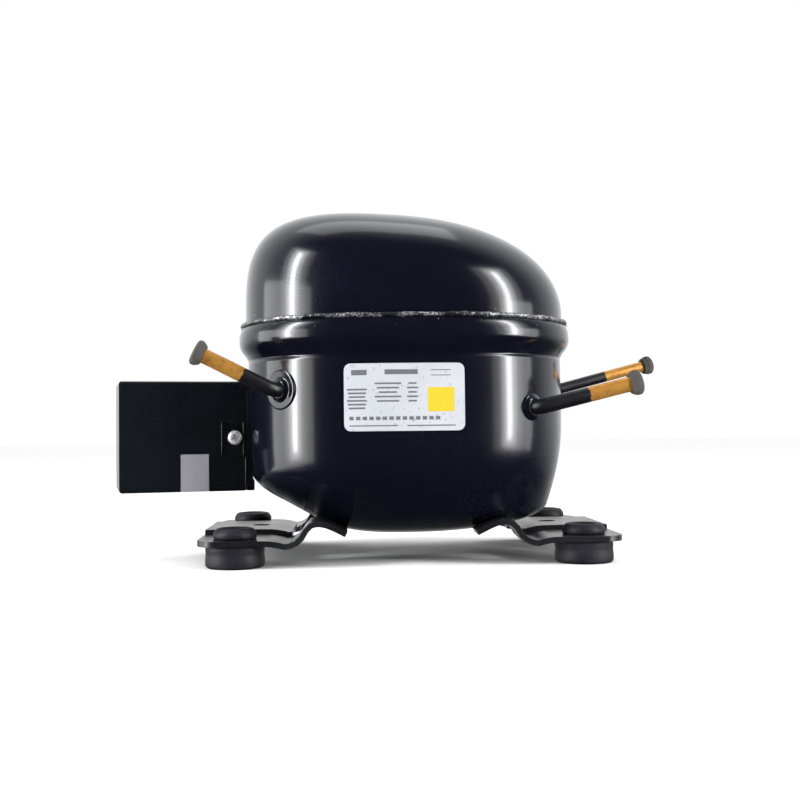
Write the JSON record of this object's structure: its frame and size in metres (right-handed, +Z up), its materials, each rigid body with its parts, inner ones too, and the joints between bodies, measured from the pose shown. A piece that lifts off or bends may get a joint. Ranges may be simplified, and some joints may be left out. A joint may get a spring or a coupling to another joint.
{
  "type": "hermetic compressor",
  "caption": "Hermetic reciprocating refrigeration compressor: a welded steel shell on rubber feet, with stub tubes and a terminal box, around a sprung slide-tube pump.",
  "frame": {"origin": "centre of the four mounting holes, on the plane that the grommets stand on", "axes": "+X along the length, away from the terminal box; +Y from the label side to the back; +Z up"},
  "size_m": [0.2872, 0.1569, 0.1722],
  "materials": {
    "shell_enamel": "gloss black stoving enamel on drawn steel",
    "weld": "enamelled arc weld bead",
    "foot_steel": "semi-gloss black enamel on pressed steel",
    "grommet_rubber": "moulded rubber",
    "copper": "drawn copper, golden, painted black near the shell",
    "cap_rubber": "moulded rubber, dusty",
    "plated_steel": "zinc-plated steel",
    "pin_alloy": "nickel-iron",
    "bracket_steel": "black enamelled sheet",
    "relay_plastic": "phenolic moulding",
    "cover_plastic": "satin black moulded plastic",
    "grey_plastic": "light grey moulded plastic",
    "zinc_screw": "bright zinc",
    "label_foil": "silver-white printed film",
    "spring_steel": "drawn spring wire",
    "block_iron": "machined cast iron",
    "head_iron": "machined cast iron",
    "gasket_fibre": "compressed fibre",
    "valve_steel": "ground steel",
    "reed_steel": "polished strip",
    "bolt_steel": "plated",
    "muffler_plastic": "natural nylon",
    "lamination_steel": "stacked electrical sheet",
    "winding_copper": "varnished copper wire",
    "ground_steel": "ground and phosphated",
    "bronze": "sintered bronze",
    "cast_aluminium": "die cast",
    "piston_iron": "ground"
  },
  "bodies": {
    "shell": {"lower_shell": "shell_enamel", "upper_shell": "shell_enamel", "weld_bead": "weld", "left_foot_plate": "foot_steel", "right_foot_plate": "foot_steel", "front_left_grommet": "grommet_rubber", "front_right_grommet": "grommet_rubber", "rear_left_grommet": "grommet_rubber", "rear_right_grommet": "grommet_rubber", "process_tube": "copper", "suction_tube": "copper", "discharge_tube": "copper", "tube_collars": "shell_enamel", "hermetic_terminal": "plated_steel", "terminal_pins": "pin_alloy", "terminal_bracket": "bracket_steel", "start_relay": "relay_plastic", "overload_protector": "relay_plastic", "terminal_cover": "cover_plastic", "cord_clamp": "grey_plastic", "cover_screw": "zinc_screw", "rating_label": "label_foil", "spring_seats": "plated_steel", "front_left_spring": "spring_steel", "front_right_spring": "spring_steel", "rear_left_spring": "spring_steel", "rear_right_spring": "spring_steel", "shock_loop": "copper"},
    "process_cap": {"process_cap": "cap_rubber"},
    "suction_cap": {"suction_cap": "cap_rubber"},
    "discharge_cap": {"discharge_cap": "cap_rubber"},
    "pump": {"cylinder_block": "block_iron", "cylinder_head": "head_iron", "head_gasket": "gasket_fibre", "valve_plate": "valve_steel", "suction_reed": "reed_steel", "reed_stop": "plated_steel", "head_bolts": "bolt_steel", "suction_muffler": "muffler_plastic", "stator_core": "lamination_steel", "stator_windings": "winding_copper", "stator_bolts": "bolt_steel"},
    "discharge_reed": {"discharge_reed": "reed_steel"},
    "crank": {"crankshaft": "ground_steel", "thrust_washer": "bronze", "rotor_core": "lamination_steel", "rotor_cage": "cast_aluminium", "balance_weight": "bronze", "oil_pickup": "plated_steel"},
    "gallery_plug": {"oil_gallery_plug": "bronze"},
    "slide_block": {"slide_block": "bronze"},
    "piston": {"slide_tube": "ground_steel", "piston": "piston_iron"}
  },
  "joints": [
    {"name": "process_cap_pull", "type": "slide", "parent": "shell", "child": "process_cap", "axis": [-0.8898, -0.0597, 0.4524], "range_m": [0, 0.03]},
    {"name": "suction_cap_pull", "type": "slide", "parent": "shell", "child": "suction_cap", "axis": [0.9712, 0.0302, 0.2365], "range_m": [0, 0.03]},
    {"name": "discharge_cap_pull", "type": "slide", "parent": "shell", "child": "discharge_cap", "axis": [0.955, 0.17, 0.243], "range_m": [0, 0.03]},
    {"name": "pump_float", "type": "slide", "parent": "shell", "child": "pump", "axis": [0, 0, 1], "range_m": [-0.0025, 0.0025], "stiffness_N_per_m": 24000, "springref_m": 0.00184, "deforming": ["front_left_spring", "front_right_spring", "rear_left_spring", "rear_right_spring", "shock_loop"]},
    {"name": "discharge_reed_lift", "type": "hinge", "parent": "pump", "child": "discharge_reed", "pos_m": [-0.05635, -0.0065, 0.1265], "axis": [0, -1, 0], "range_deg": [0, 4], "stiffness_Nm_per_rad": 0.05},
    {"name": "crankshaft_spin", "type": "hinge", "parent": "pump", "child": "crank", "pos_m": [0, 0, 0.116], "axis": [0, 0, 1], "continuous": true},
    {"name": "slide_block_swivel", "type": "hinge", "parent": "crank", "child": "slide_block", "pos_m": [0.0084, 0, 0.136], "axis": [0, 0, 1], "continuous": true},
    {"name": "gallery_plug_turn", "type": "hinge", "parent": "crank", "child": "gallery_plug", "pos_m": [0.0042, 0, 0.1215], "axis": [0, 0, 1], "continuous": true},
    {"name": "piston_stroke", "type": "hinge", "parent": "gallery_plug", "child": "piston", "pos_m": [0.0084, 0, 0.136], "axis": [0, 0, 1], "continuous": true}
  ],
  "couplings": [
    {"joint": "slide_block_swivel", "follows": "crankshaft_spin", "ratio": -1},
    {"joint": "gallery_plug_turn", "follows": "crankshaft_spin", "ratio": -2},
    {"joint": "piston_stroke", "follows": "crankshaft_spin", "ratio": 1}
  ]
}
